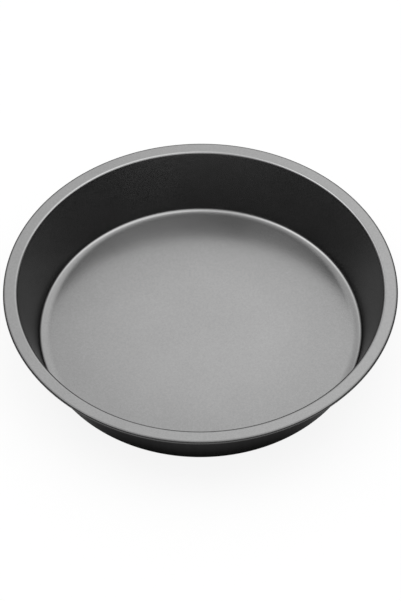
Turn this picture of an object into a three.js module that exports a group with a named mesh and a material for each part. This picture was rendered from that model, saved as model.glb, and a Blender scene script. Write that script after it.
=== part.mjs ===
// Round cake pan: one drawn steel sheet with a leaning wall and a flat rim, whose edge is
// rolled over a stiffening wire, and a thin release lining over the side that meets the cake.
// Millimetres, +Z up. The origin is the middle of the underside, where the pan stands.

import * as THREE from 'three';

// The pan's room, measured on the lined side, to where its straight outlines would meet
const openingDiameter = 260;
const depth = 48.2;
const wallLean = THREE.MathUtils.degToRad(16.1); // out from upright

// From floor to wall, on the lined side: a wide sweep off the flat floor, a tighter knee, and the corner
const sweepRadius = 24;
const sweepAngle = THREE.MathUtils.degToRad(12); // the slope where the sweep ends
const kneeRadius = 4.5;
const kneeAngle = THREE.MathUtils.degToRad(31); // the slope where the knee ends
const cornerRadius = 2;

// Rim
const rimWidth = 10; // from the opening to the outside of the rolled edge
const rimBend = 1.7; // radius on the underside, where the wall turns out into the rim
const rollGap = 0.3; // left between the end of the rolled edge and the rim's underside

// Sheet, lining and wire
const steelThickness = 0.56;
const bondGap = 0.005; // left between steel and lining, which stay two solids
const liningThickness = 0.035;
const wireDiameter = 1.5;
const wireClearance = 0.05; // between the wire and the roll around it

// Facets
const turnSteps = 72; // round the pan
const sweepSteps = 2;
const kneeSteps = 2;
const cornerSteps = 3;
const bendSteps = 3;
const rollSteps = 10;
const wireSides = 10;

// Layers of the sheet
const liningDepth = liningThickness + bondGap;
const wallThickness = steelThickness + liningDepth;
const rimTop = wallThickness + depth;

// Floor, corner and wall
const quarterTurn = Math.PI / 2;
const wallRise = quarterTurn - wallLean; // how far the outline turns from floor to wall
const sweepEnd = sweepAngle - quarterTurn;
const kneeEnd = kneeAngle - quarterTurn;
const openingRadius = openingDiameter / 2;

// From the edge of the flat floor: the centres of sweep, knee and corner, and the foot of the wall
const sweepOffset = new THREE.Vector2(0, sweepRadius);
const kneeOffset = onCircle(sweepOffset, sweepRadius - kneeRadius, sweepEnd);
const cornerOffset = onCircle(kneeOffset, kneeRadius - cornerRadius, kneeEnd);
const footOffset = onCircle(cornerOffset, cornerRadius, -wallLean);
const wallFoot = openingRadius - (depth - footOffset.y) * Math.tan(wallLean);
const flatRadius = wallFoot - footOffset.x;

// Rim and roll
const bendRadius = rimBend + wallThickness;
const rollRoom = wireDiameter / 2 + wireClearance;
const rollRadius = rollRoom + wallThickness;
const rollEnd = Math.asin((rollRoom - rollGap) / rollRadius); // past three quarters of a turn

// Centres of the round stretches of the outline, as radius and height
const flatEdge = new THREE.Vector2(flatRadius, wallThickness);
const sweepCentre = flatEdge.clone().add(sweepOffset);
const kneeCentre = flatEdge.clone().add(kneeOffset);
const cornerCentre = flatEdge.clone().add(cornerOffset);
const bendCentre = new THREE.Vector2(
  openingRadius + bendRadius * Math.tan(wallRise / 2),
  rimTop - bendRadius,
);
const rollCentre = new THREE.Vector2(openingRadius + rimWidth - rollRadius, rimTop - rollRadius);

function onCircle(centre, radius, angle) {
  const spoke = new THREE.Vector2(Math.cos(angle), Math.sin(angle));
  return spoke.multiplyScalar(radius).add(centre);
}

// Points along an arc, both ends included
function arc(centre, radius, startAngle, endAngle, steps) {
  const points = [];
  for (let step = 0; step <= steps; step += 1) {
    const angle = startAngle + ((endAngle - startAngle) * step) / steps;
    points.push(onCircle(centre, radius, angle));
  }
  return points;
}

// Outline of the sheet from the middle of the floor to the end of the roll, sunk below the lined side
function outline(sunk) {
  const sweep = arc(sweepCentre, sweepRadius + sunk, -quarterTurn, sweepEnd, sweepSteps);
  const knee = arc(kneeCentre, kneeRadius + sunk, sweepEnd, kneeEnd, kneeSteps);
  const corner = arc(cornerCentre, cornerRadius + sunk, kneeEnd, -wallLean, cornerSteps);
  const bend = arc(bendCentre, bendRadius - sunk, Math.PI - wallLean, quarterTurn, bendSteps);
  const roll = arc(rollCentre, rollRadius - sunk, quarterTurn, -Math.PI - rollEnd, rollSteps);
  const middle = new THREE.Vector2(0, wallThickness - sunk);
  return [middle, ...sweep, ...knee.slice(1), ...corner.slice(1), ...bend, ...roll];
}

// A profile of radius and height, turned round the upright axis
function turned(profile) {
  return new THREE.LatheGeometry(profile, turnSteps).rotateX(quarterTurn);
}

// One layer of the sheet, between two depths below the lined side
function layer(upper, lower) {
  return turned([...outline(lower), ...outline(upper).reverse()]);
}

function part(name, geometry, color, roughness, metalness) {
  const material = new THREE.MeshStandardMaterial({ color, roughness, metalness });
  const mesh = new THREE.Mesh(geometry, material);
  mesh.name = name;
  return mesh;
}

const wireSection = arc(rollCentre, wireDiameter / 2, 0, 2 * Math.PI, wireSides);

const cakePan = new THREE.Group();
cakePan.add(
  part('pan_shell', layer(liningDepth, wallThickness), 0x3b3b3c, 0.3, 1),
  part('rim_wire', turned(wireSection), 0xb4b6b8, 0.35, 1),
  part('nonstick_lining', layer(0, liningThickness), 0x9d9d9e, 0.25, 1),
);

export default cakePan;
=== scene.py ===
"""Looks of a round cake pan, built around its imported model.

The pan is drawn from one steel sheet, its edge is rolled over a stiffening wire, and a grey
release lining covers the side that meets the cake. Metres, +Z up; the origin is the middle
of the underside.
"""

import math

import bmesh
import bpy
from mathutils import Matrix, Vector


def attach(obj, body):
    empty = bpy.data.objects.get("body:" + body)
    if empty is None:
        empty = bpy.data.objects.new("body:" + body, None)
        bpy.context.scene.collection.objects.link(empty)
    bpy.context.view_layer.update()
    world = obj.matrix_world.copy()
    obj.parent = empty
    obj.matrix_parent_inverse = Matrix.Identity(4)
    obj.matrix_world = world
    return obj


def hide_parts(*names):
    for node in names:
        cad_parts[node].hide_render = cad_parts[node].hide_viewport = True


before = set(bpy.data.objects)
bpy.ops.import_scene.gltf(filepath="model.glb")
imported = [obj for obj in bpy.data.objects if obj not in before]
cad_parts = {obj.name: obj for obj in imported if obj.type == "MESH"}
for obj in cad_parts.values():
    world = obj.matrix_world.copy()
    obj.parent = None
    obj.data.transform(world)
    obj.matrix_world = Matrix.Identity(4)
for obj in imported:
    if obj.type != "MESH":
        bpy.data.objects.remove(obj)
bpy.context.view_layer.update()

MM = 0.001
QUARTER_TURN = math.pi / 2

# The pan's room, measured on the lined side, to where its straight outlines would meet
OPENING_DIAMETER = 260 * MM
DEPTH = 48.2 * MM
WALL_LEAN = math.radians(16.1)  # out from upright

# From floor to wall, on the lined side: a wide sweep off the flat floor, a tighter knee, and the corner
SWEEP_RADIUS = 24 * MM
SWEEP_ANGLE = math.radians(12)  # the slope where the sweep ends
KNEE_RADIUS = 4.5 * MM
KNEE_ANGLE = math.radians(31)  # the slope where the knee ends
CORNER_RADIUS = 2 * MM

# Rim
RIM_WIDTH = 10 * MM  # from the opening to the outside of the rolled edge
RIM_BEND = 1.7 * MM  # radius on the underside, where the wall turns out into the rim
ROLL_GAP = 0.3 * MM  # left between the end of the rolled edge and the rim's underside

# Sheet, lining and wire
STEEL_THICKNESS = 0.56 * MM
BOND_GAP = 0.005 * MM  # left between steel and lining
LINING_THICKNESS = 0.035 * MM
WIRE_DIAMETER = 1.5 * MM
WIRE_CLEARANCE = 0.05 * MM  # between the wire and the roll around it

# Layers of the sheet, and the height of the rim
LINING_DEPTH = LINING_THICKNESS + BOND_GAP
WALL_THICKNESS = STEEL_THICKNESS + LINING_DEPTH
RIM_TOP = WALL_THICKNESS + DEPTH

# Directions from the centres of sweep, knee and corner to where each of them ends
SWEEP_SPOKE = Vector((math.sin(SWEEP_ANGLE), 0, -math.cos(SWEEP_ANGLE)))
KNEE_SPOKE = Vector((math.sin(KNEE_ANGLE), 0, -math.cos(KNEE_ANGLE)))
WALL_SPOKE = Vector((math.cos(WALL_LEAN), 0, -math.sin(WALL_LEAN)))

# Steps from centre to centre and on to the wall, and from the edge of the flat floor to the wall's foot
SWEEP_TO_KNEE = (SWEEP_RADIUS - KNEE_RADIUS) * SWEEP_SPOKE
KNEE_TO_CORNER = (KNEE_RADIUS - CORNER_RADIUS) * KNEE_SPOKE
CORNER_TO_WALL = CORNER_RADIUS * WALL_SPOKE
FLAT_TO_WALL = Vector((0, 0, SWEEP_RADIUS)) + SWEEP_TO_KNEE + KNEE_TO_CORNER + CORNER_TO_WALL

# Radii of the floor, the wall and the rim
OPENING_RADIUS = OPENING_DIAMETER / 2
WALL_FOOT = OPENING_RADIUS - (DEPTH - FLAT_TO_WALL.z) * math.tan(WALL_LEAN)
FLAT_RADIUS = WALL_FOOT - FLAT_TO_WALL.x
RIM_RADIUS = OPENING_RADIUS + RIM_WIDTH

# Bend and roll
WALL_RISE = QUARTER_TURN - WALL_LEAN  # how far the outline turns from floor to wall
BEND_RADIUS = RIM_BEND + WALL_THICKNESS
ROLL_ROOM = WIRE_DIAMETER / 2 + WIRE_CLEARANCE
ROLL_RADIUS = ROLL_ROOM + WALL_THICKNESS
ROLL_TURN = 3 * QUARTER_TURN + math.asin((ROLL_ROOM - ROLL_GAP) / ROLL_RADIUS)

# Centres of the round stretches of the outline
SWEEP_CENTRE = Vector((FLAT_RADIUS, 0, WALL_THICKNESS + SWEEP_RADIUS))
KNEE_CENTRE = SWEEP_CENTRE + SWEEP_TO_KNEE
CORNER_CENTRE = KNEE_CENTRE + KNEE_TO_CORNER
BEND_CENTRE = Vector((OPENING_RADIUS + BEND_RADIUS * math.tan(WALL_RISE / 2), 0, RIM_TOP - BEND_RADIUS))
ROLL_CENTRE = Vector((RIM_RADIUS - ROLL_RADIUS, 0, RIM_TOP - ROLL_RADIUS))

# Fineness of the meshes
TURN_STEPS = 256
SWEEP_STEPS = 6
KNEE_STEPS = 6
CORNER_STEPS = 10
BEND_STEPS = 10
ROLL_STEPS = 36
WIRE_STEPS = 20
END_MARGIN = 0.25 * MM  # from the ends of a straight stretch to the points that hold the shading there
WELD = 0.001 * MM
SHARP_ANGLE = math.radians(40)

# Camera, from the ellipses of the photographed rim and floor
LENS = 152.8
CAMERA_DISTANCE = 1.809
CAMERA_ELEVATION = math.radians(49.22)
CAMERA_ROLL = math.radians(-0.449)
CAMERA_AIM = Vector((0, -8.1 * MM, RIM_TOP - 7.1 * MM))

# Light is set by the direction it comes from: a reach is a span of its X or Y, and a height one of its Z

# Light tent behind and above the pan, brighter at its left, at its right and overhead
TENT_LEVEL = 1.07  # of the dome too
TENT_MIDDLE = Vector((0, 0.35, 0.93)).normalized()
TENT_FADE = (math.cos(math.radians(56)), math.cos(math.radians(28)))  # none to full, towards its middle
TENT_LEFT_LEVEL = 2.15
TENT_LEFT_REACH = (-0.44, -0.16)
TENT_RIGHT_LEVEL = 1.25
TENT_RIGHT_REACH = (0.2, 0.45)
TENT_TOP_LEVEL = 1.8
TENT_TOP_REACH = (0.1, 0.55)

# Dome of light above the pan on all sides, and how tent and dome grow brighter from left to right
DOME_LEVEL = 0.95
DOME_HEIGHT = (0.48, 0.64)
RIGHT_LEVELS = (0.79, 1.22)
RIGHT_REACH = (-0.15, 0.15)

# Weak light low behind the pan, and a faint one from everywhere
BACK_LEVEL = 0.35
BACK_REACH = (0.2, 0.5)
BACK_HEIGHT = (0.35, 0.5)
FAINT_LEVEL = 0.06

# Floor
FLOOR_REACH = 20
FLOOR_GAP = 0.1 * MM  # below the pan's underside
FLOOR_GREY = 0.9
FLOOR_ROUGHNESS = 0.9
FLOOR_WHITE = 0.88  # how much of what is seen of it is plain white

# Release coat, with its shades as shares of its grey; those of corner, wall, rim and roll are painted
# shade
COAT_GREY = 0.34
COAT_ROUGHNESS = (0.22, 0.25)
COAT_EDGE_TINT = 0.34
COAT_MIDDLE = 40 * MM  # radius of the lightest part of the floor, beyond which painted shade darkens it towards the corner
# Painted shade: the coat is darker towards the floor's corner, on the wall and over the roll, a little on
# the rim
COAT_CORNER_PAINTED_SHADE = 0.87
COAT_WALL_PAINTED_SHADE = 0.72
COAT_RIM_PAINTED_SHADE = 0.96
COAT_ROLL_PAINTED_SHADE = 0.3
COAT_ROLL_REACH = (ROLL_CENTRE.x - 0.4 * ROLL_RADIUS, ROLL_CENTRE.x + 0.5 * ROLL_RADIUS)
COAT_GRAIN = 1.3 * MM
COAT_GRAIN_SHADES = (0.955, 1.045)
COAT_CLOUD = 35 * MM
COAT_CLOUD_SHADES = (0.985, 1.015)
COAT_PEEL = 0.45 * MM
COAT_PEEL_HEIGHT = 0.001 * MM

# Lacquer outside, with its shades as shares of its grey; those of foot, wall and underside are painted
# shade
LACQUER_GREY = 0.045
LACQUER_ROUGHNESS = (0.3, 0.32)
LACQUER_EDGE_TINT = 0.35
# Painted shade: the lacquer is darkest at the foot and lighter up the wall and across the underside
LACQUER_FOOT_PAINTED_SHADE = 0.5
LACQUER_WALL_PAINTED_SHADE = 1.4
LACQUER_WALL_HEIGHT = 30 * MM  # where the painted shade up the wall reaches its full level
LACQUER_UNDER_SHADE = 1.2
LACQUER_UNDER_FADE = 15 * MM  # width of the ring where painted shade darkens the underside towards the foot
LACQUER_GRAIN = 0.9 * MM
LACQUER_GRAIN_SHADES = (0.95, 1.05)
LACQUER_STREAK = 1.6 * MM
LACQUER_STREAK_STRETCH = 0.06  # width of a streak to its length
LACQUER_STREAK_SHADES = (0.97, 1.03)
LACQUER_PEEL_HEIGHT = 0.003 * MM

# Wire, with its shades as shares of its grey
WIRE_GREY = 0.55
WIRE_ROUGHNESS = (0.28, 0.42)
WIRE_EDGE_TINT = 1
WIRE_LINE = 0.08 * MM
WIRE_LINE_SHADES = (0.85, 1.1)
WIRE_LINE_HEIGHT = 0.004 * MM

# Uneven patches
NOISE_SPREAD = (0.3, 0.7)  # the values that noise mostly lies between
NOISE_DETAIL = 2

# Kinds of socket
NUMBER = "NodeSocketFloat"
VECTOR = "NodeSocketVector"


def line_to(bm, start, end):
    """Carries an outline straight on, with points near both ends that hold the shading of the bends."""
    along = (end - start.co).normalized() * END_MARGIN
    for point in (start.co + along, end - along, end):
        start = bmesh.ops.extrude_vert_indiv(bm, verts=[start])["verts"][0]
        start.co = point
    return start


def arc_round(bm, start, centre, turn, steps):
    """Carries an outline on along an arc: a positive turn is clockwise, seen from the front."""
    made = bmesh.ops.spin(bm, geom=[start], cent=centre, axis=(0, 1, 0), angle=turn, steps=steps)
    return next(v for v in made["geom_last"] if isinstance(v, bmesh.types.BMVert))


def draw_outline(bm, sunk):
    """Draws an outline from the middle of the floor to the end of the roll, sunk below the lined side."""
    floor = WALL_THICKNESS - sunk
    end = bm.verts.new((0, 0, floor))
    end = line_to(bm, end, Vector((FLAT_RADIUS, 0, floor)))
    end = arc_round(bm, end, SWEEP_CENTRE, -SWEEP_ANGLE, SWEEP_STEPS)
    end = arc_round(bm, end, KNEE_CENTRE, SWEEP_ANGLE - KNEE_ANGLE, KNEE_STEPS)
    end = arc_round(bm, end, CORNER_CENTRE, KNEE_ANGLE - WALL_RISE, CORNER_STEPS)
    end = line_to(bm, end, BEND_CENTRE - (BEND_RADIUS - sunk) * WALL_SPOKE)
    end = arc_round(bm, end, BEND_CENTRE, WALL_RISE, BEND_STEPS)
    end = line_to(bm, end, Vector((ROLL_CENTRE.x, 0, RIM_TOP - sunk)))
    return arc_round(bm, end, ROLL_CENTRE, ROLL_TURN, ROLL_STEPS)


def turned(name, bm):
    """Turns what is drawn round the pan's axis into a closed piece."""
    drawn = bm.verts[:] + bm.edges[:]
    bmesh.ops.spin(bm, geom=drawn, axis=(0, 0, 1), angle=2 * math.pi, steps=TURN_STEPS, use_merge=True)
    bmesh.ops.remove_doubles(bm, verts=bm.verts, dist=WELD)
    bmesh.ops.recalc_face_normals(bm, faces=bm.faces)
    mesh = bpy.data.meshes.new(name)
    bm.to_mesh(mesh)
    bm.free()
    mesh.shade_smooth()
    mesh.set_sharp_from_angle(angle=SHARP_ANGLE)
    piece = bpy.data.objects.new(name, mesh)
    bpy.context.scene.collection.objects.link(piece)
    return piece


def sheet_layer(name, upper, lower):
    """A layer of the sheet between two depths below the lined side."""
    bm = bmesh.new()
    bm.edges.new((draw_outline(bm, upper), draw_outline(bm, lower)))
    return turned(name, bm)


def stiffening_wire(name):
    """The ring of wire that the edge of the sheet is rolled over."""
    bm = bmesh.new()
    start = bm.verts.new(ROLL_CENTRE + Vector((WIRE_DIAMETER / 2, 0, 0)))
    arc_round(bm, start, ROLL_CENTRE, 2 * math.pi, WIRE_STEPS)
    bmesh.ops.remove_doubles(bm, verts=bm.verts, dist=WELD)
    return turned(name, bm)


def add_node(tree, kind, inputs, **options):
    """Adds a node with its options, and sets or links its inputs."""
    made = tree.nodes.new(kind)
    for name, value in options.items():
        setattr(made, name, value)
    for name, value in inputs.items():
        if isinstance(value, bpy.types.NodeSocket):
            tree.links.new(value, made.inputs[name])
        else:
            made.inputs[name].default_value = value
    return made


def maths(tree, operation, *values):
    return add_node(tree, "ShaderNodeMath", dict(enumerate(values)), operation=operation).outputs[0]


def product(tree, first, *others):
    """Some values multiplied together."""
    for other in others:
        first = maths(tree, "MULTIPLY", first, other)
    return first


def vector_maths(tree, operation, *values):
    return add_node(tree, "ShaderNodeVectorMath", dict(enumerate(values)), operation=operation).outputs


def scaled(tree, vector, scale):
    inputs = {0: vector, "Scale": scale}
    return add_node(tree, "ShaderNodeVectorMath", inputs, operation="SCALE").outputs["Vector"]


def between(tree, value, reach, levels, interpolation="LINEAR"):
    """Carries a value from one level to another over a reach of it."""
    start, end = reach
    low, high = levels
    inputs = {"Value": value, "From Min": start, "From Max": end, "To Min": low, "To Max": high}
    return add_node(tree, "ShaderNodeMapRange", inputs, interpolation_type=interpolation).outputs["Result"]


def fade(tree, value, reach, levels):
    """Carries a value softly from one level to another over a reach of it."""
    return between(tree, value, reach, levels, "SMOOTHSTEP")


def new_group(name, inputs, outputs):
    """An empty node group, with what it is given and what it gives back."""
    tree = bpy.data.node_groups.new(name, "ShaderNodeTree")
    for socket, kind in inputs.items():
        tree.interface.new_socket(name=socket, in_out="INPUT", socket_type=kind)
    for socket, kind in outputs.items():
        tree.interface.new_socket(name=socket, in_out="OUTPUT", socket_type=kind)
    return tree, tree.nodes.new("NodeGroupInput").outputs, tree.nodes.new("NodeGroupOutput").inputs


def mottle_group():
    """Uneven patches of one size, as a value between two levels."""
    sockets = {"Vector": VECTOR, "Size": NUMBER, "Low": NUMBER, "High": NUMBER}
    tree, given, result = new_group("mottle", sockets, {"Value": NUMBER})
    scale = maths(tree, "DIVIDE", 1, given["Size"])
    inputs = {"Vector": given["Vector"], "Scale": scale, "Detail": NOISE_DETAIL}
    noise = add_node(tree, "ShaderNodeTexNoise", inputs).outputs["Fac"]
    value = between(tree, noise, NOISE_SPREAD, (given["Low"], given["High"]))
    tree.links.new(value, result["Value"])
    return tree


def round_place_group():
    """A point's distance from the pan's axis, its height, and its direction seen from above."""
    outputs = {"Radius": NUMBER, "Height": NUMBER, "Around": VECTOR}
    tree, given, result = new_group("round_place", {"Vector": VECTOR}, outputs)
    level = vector_maths(tree, "MULTIPLY", given["Vector"], (1, 1, 0))["Vector"]
    axes = add_node(tree, "ShaderNodeSeparateXYZ", {"Vector": given["Vector"]})
    tree.links.new(vector_maths(tree, "LENGTH", level)["Value"], result["Radius"])
    tree.links.new(axes.outputs["Z"], result["Height"])
    tree.links.new(vector_maths(tree, "NORMALIZE", level)["Vector"], result["Around"])
    return tree


MOTTLE = mottle_group()
ROUND_PLACE = round_place_group()


def use_group(tree, group, **inputs):
    """Places a node group in a material."""
    placed = {name.title(): value for name, value in inputs.items()}
    return add_node(tree, "ShaderNodeGroup", placed, node_tree=group).outputs


def mottle(tree, place, size, levels):
    low, high = levels
    return use_group(tree, MOTTLE, vector=place, size=size, low=low, high=high)["Value"]


def new_material(name, edge_tint):
    """A new metallic finish, its shader, and the place on the piece."""
    material = bpy.data.materials.new(name)
    material.use_nodes = True
    nodes = material.node_tree.nodes
    shader = nodes["Principled BSDF"]
    shader.inputs["Metallic"].default_value = 1
    shader.inputs["Specular Tint"].default_value = (edge_tint, edge_tint, edge_tint, 1)
    return material, shader, nodes.new("ShaderNodeTexCoord").outputs["Object"]


def set_looks(tree, shader, grey, shade, roughness, height, depth):
    """Feeds a shader: a grey in many shades, its roughness, and the height of its relief."""
    tree.links.new(scaled(tree, (grey, grey, grey), shade), shader.inputs["Base Color"])
    tree.links.new(roughness, shader.inputs["Roughness"])
    relief = add_node(tree, "ShaderNodeBump", {"Height": height, "Distance": depth})
    tree.links.new(relief.outputs["Normal"], shader.inputs["Normal"])


def coat_painted_shade(tree, radius):
    """Painted shade of the release coat: lightest mid-floor, darker to the corner and on the wall, darkest
    on the roll.
    """
    floor = fade(tree, radius, (COAT_MIDDLE, FLAT_RADIUS), (1, COAT_CORNER_PAINTED_SHADE))
    wall = fade(tree, radius, (FLAT_RADIUS, WALL_FOOT), (1, COAT_WALL_PAINTED_SHADE / COAT_CORNER_PAINTED_SHADE))
    rim = fade(tree, radius, (OPENING_RADIUS, BEND_CENTRE.x), (COAT_WALL_PAINTED_SHADE, COAT_RIM_PAINTED_SHADE))
    roll = fade(tree, radius, COAT_ROLL_REACH, (1, COAT_ROLL_PAINTED_SHADE))
    return product(tree, maths(tree, "MAXIMUM", product(tree, floor, wall), rim), roll)


def release_coat():
    """Grey metallic release coat, with painted shade, a fine grain and faint clouds."""
    material, shader, place = new_material("release_coat", COAT_EDGE_TINT)
    tree = material.node_tree
    radius = use_group(tree, ROUND_PLACE, vector=place)["Radius"]
    grain = mottle(tree, place, COAT_GRAIN, COAT_GRAIN_SHADES)
    cloud = mottle(tree, place, COAT_CLOUD, COAT_CLOUD_SHADES)
    # Painted shade, times the grain and clouds that the coat has
    shade = product(tree, coat_painted_shade(tree, radius), grain, cloud)
    roughness = mottle(tree, place, COAT_CLOUD, COAT_ROUGHNESS)
    peel = mottle(tree, place, COAT_PEEL, (0, 1))
    set_looks(tree, shader, COAT_GREY, shade, roughness, peel, COAT_PEEL_HEIGHT)
    return material


def lacquer_painted_shade(tree, spot):
    """Painted shade of the lacquer: darkest at the pan's foot, lighter up the wall and across the
    underside.
    """
    wall_shades = (LACQUER_FOOT_PAINTED_SHADE, LACQUER_WALL_PAINTED_SHADE)
    wall = between(tree, spot["Height"], (0, LACQUER_WALL_HEIGHT), wall_shades)
    under_reach = (FLAT_RADIUS - LACQUER_UNDER_FADE, FLAT_RADIUS)
    under = between(tree, spot["Radius"], under_reach, (LACQUER_UNDER_SHADE, LACQUER_FOOT_PAINTED_SHADE))
    return maths(tree, "MAXIMUM", wall, under)


def lacquered_steel():
    """Dark satin lacquer, with painted shade, a fine grain and faint streaks the way the sheet was drawn.
    """
    material, shader, place = new_material("lacquered_steel", LACQUER_EDGE_TINT)
    tree = material.node_tree
    spot = use_group(tree, ROUND_PLACE, vector=place)
    ring = scaled(tree, spot["Around"], RIM_RADIUS)
    height = product(tree, spot["Height"], LACQUER_STREAK_STRETCH)
    rise = add_node(tree, "ShaderNodeCombineXYZ", {"Z": height}).outputs["Vector"]
    drawn = vector_maths(tree, "ADD", ring, rise)["Vector"]
    streak = mottle(tree, drawn, LACQUER_STREAK, LACQUER_STREAK_SHADES)
    grain = mottle(tree, place, LACQUER_GRAIN, LACQUER_GRAIN_SHADES)
    relief = product(tree, grain, streak)
    # Painted shade, darkest at the foot, times the grain and streaks that the lacquer has
    shade = product(tree, relief, lacquer_painted_shade(tree, spot))
    roughness = mottle(tree, drawn, LACQUER_STREAK, LACQUER_ROUGHNESS)
    set_looks(tree, shader, LACQUER_GREY, shade, roughness, relief, LACQUER_PEEL_HEIGHT)
    return material


def wire_steel():
    """Bare wire, with the fine lines that drawing leaves along it."""
    material, shader, place = new_material("wire_steel", WIRE_EDGE_TINT)
    tree = material.node_tree
    spot = use_group(tree, ROUND_PLACE, vector=place)
    across = {"X": spot["Radius"], "Z": spot["Height"]}
    section = add_node(tree, "ShaderNodeCombineXYZ", across).outputs["Vector"]
    line = mottle(tree, section, WIRE_LINE, WIRE_LINE_SHADES)
    roughness = mottle(tree, section, WIRE_LINE, WIRE_ROUGHNESS)
    set_looks(tree, shader, WIRE_GREY, line, roughness, line, WIRE_LINE_HEIGHT)
    return material


def mixed(tree, share, first, second):
    """One shader, with a share of another."""
    return add_node(tree, "ShaderNodeMixShader", {0: share, 1: first, 2: second}).outputs["Shader"]


def floor_material():
    """Pale and matt, nearly white to the camera and in reflections, and not seen from below."""
    material = bpy.data.materials.new("floor")
    material.use_nodes = True
    tree = material.node_tree
    matt = tree.nodes["Principled BSDF"]
    matt.inputs["Base Color"].default_value = (FLOOR_GREY, FLOOR_GREY, FLOOR_GREY, 1)
    matt.inputs["Roughness"].default_value = FLOOR_ROUGHNESS
    white = tree.nodes.new("ShaderNodeEmission").outputs["Emission"]
    clear = tree.nodes.new("ShaderNodeBsdfTransparent").outputs["BSDF"]
    path = tree.nodes.new("ShaderNodeLightPath").outputs
    underside = tree.nodes.new("ShaderNodeNewGeometry").outputs["Backfacing"]
    seen = maths(tree, "MAXIMUM", path["Is Camera Ray"], path["Is Glossy Ray"])
    seen = maths(tree, "MAXIMUM", seen, path["Is Transmission Ray"])
    pale = mixed(tree, product(tree, seen, FLOOR_WHITE), matt.outputs["BSDF"], white)
    shown = mixed(tree, product(tree, underside, path["Is Camera Ray"]), pale, clear)
    tree.links.new(shown, tree.nodes["Material Output"].inputs["Surface"])
    return material


def add_floor():
    bm = bmesh.new()
    below = Matrix.Translation((0, 0, -FLOOR_GAP))
    bmesh.ops.create_grid(bm, x_segments=1, y_segments=1, size=FLOOR_REACH, matrix=below)
    mesh = bpy.data.meshes.new("floor")
    bm.to_mesh(mesh)
    bm.free()
    floor = bpy.data.objects.new("floor", mesh)
    mesh.materials.append(floor_material())
    bpy.context.scene.collection.objects.link(floor)


def add_world():
    """Lights the pan: tent and dome, the weak light low behind it, and the faint one from everywhere."""
    world = bpy.data.worlds.new("light_tent")
    world.use_nodes = True
    bpy.context.scene.world = world
    tree = world.node_tree
    way = tree.nodes.new("ShaderNodeTexCoord").outputs["Generated"]
    axes = add_node(tree, "ShaderNodeSeparateXYZ", {"Vector": way}).outputs
    nearness = vector_maths(tree, "DOT_PRODUCT", way, TENT_MIDDLE)["Value"]
    tent = product(
        tree,
        fade(tree, nearness, TENT_FADE, (0, 1)),
        fade(tree, axes["X"], TENT_LEFT_REACH, (TENT_LEFT_LEVEL, 1)),
        fade(tree, axes["X"], TENT_RIGHT_REACH, (1, TENT_RIGHT_LEVEL)),
        fade(tree, axes["Y"], TENT_TOP_REACH, (TENT_TOP_LEVEL, 1)),
    )
    dome = fade(tree, axes["Z"], DOME_HEIGHT, (0, DOME_LEVEL))
    to_right = fade(tree, axes["X"], RIGHT_REACH, RIGHT_LEVELS)
    lit = product(tree, maths(tree, "MAXIMUM", tent, dome), to_right)
    behind = fade(tree, axes["Y"], BACK_REACH, (0, BACK_LEVEL))
    low = fade(tree, axes["Z"], BACK_HEIGHT, (1, 0))
    weak = maths(tree, "MULTIPLY_ADD", behind, low, FAINT_LEVEL)
    background = tree.nodes["Background"].inputs
    background["Color"].default_value = (1, 1, 1, 1)
    tree.links.new(maths(tree, "MULTIPLY_ADD", lit, TENT_LEVEL, weak), background["Strength"])


def add_camera():
    data = bpy.data.cameras.new("camera")
    data.lens = LENS
    camera = bpy.data.objects.new("camera", data)
    back = Vector((0, -math.cos(CAMERA_ELEVATION), math.sin(CAMERA_ELEVATION)))
    place = Vector((0, 0, RIM_TOP)) + back * CAMERA_DISTANCE
    look = (CAMERA_AIM - place).to_track_quat("-Z", "Y").to_matrix().to_4x4()
    camera.matrix_world = Matrix.Translation(place) @ look @ Matrix.Rotation(CAMERA_ROLL, 4, "Z")
    bpy.context.scene.collection.objects.link(camera)
    bpy.context.scene.camera = camera


lining = sheet_layer("release_lining", 0, LINING_THICKNESS)
shell = sheet_layer("drawn_shell", LINING_DEPTH, WALL_THICKNESS)
wire = stiffening_wire("rim_stiffener")
for piece, node, slot, finish in (
    (lining, "nonstick_lining", "release_coat", release_coat),
    (shell, "pan_shell", "lacquered_steel", lacquered_steel),
    (wire, "rim_wire", "wire_steel", wire_steel),
):
    piece.data.materials.append(finish())
    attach(piece, "root")
    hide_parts(node)

add_camera()
add_floor()
add_world()
bpy.context.scene.view_settings.view_transform = "Standard"
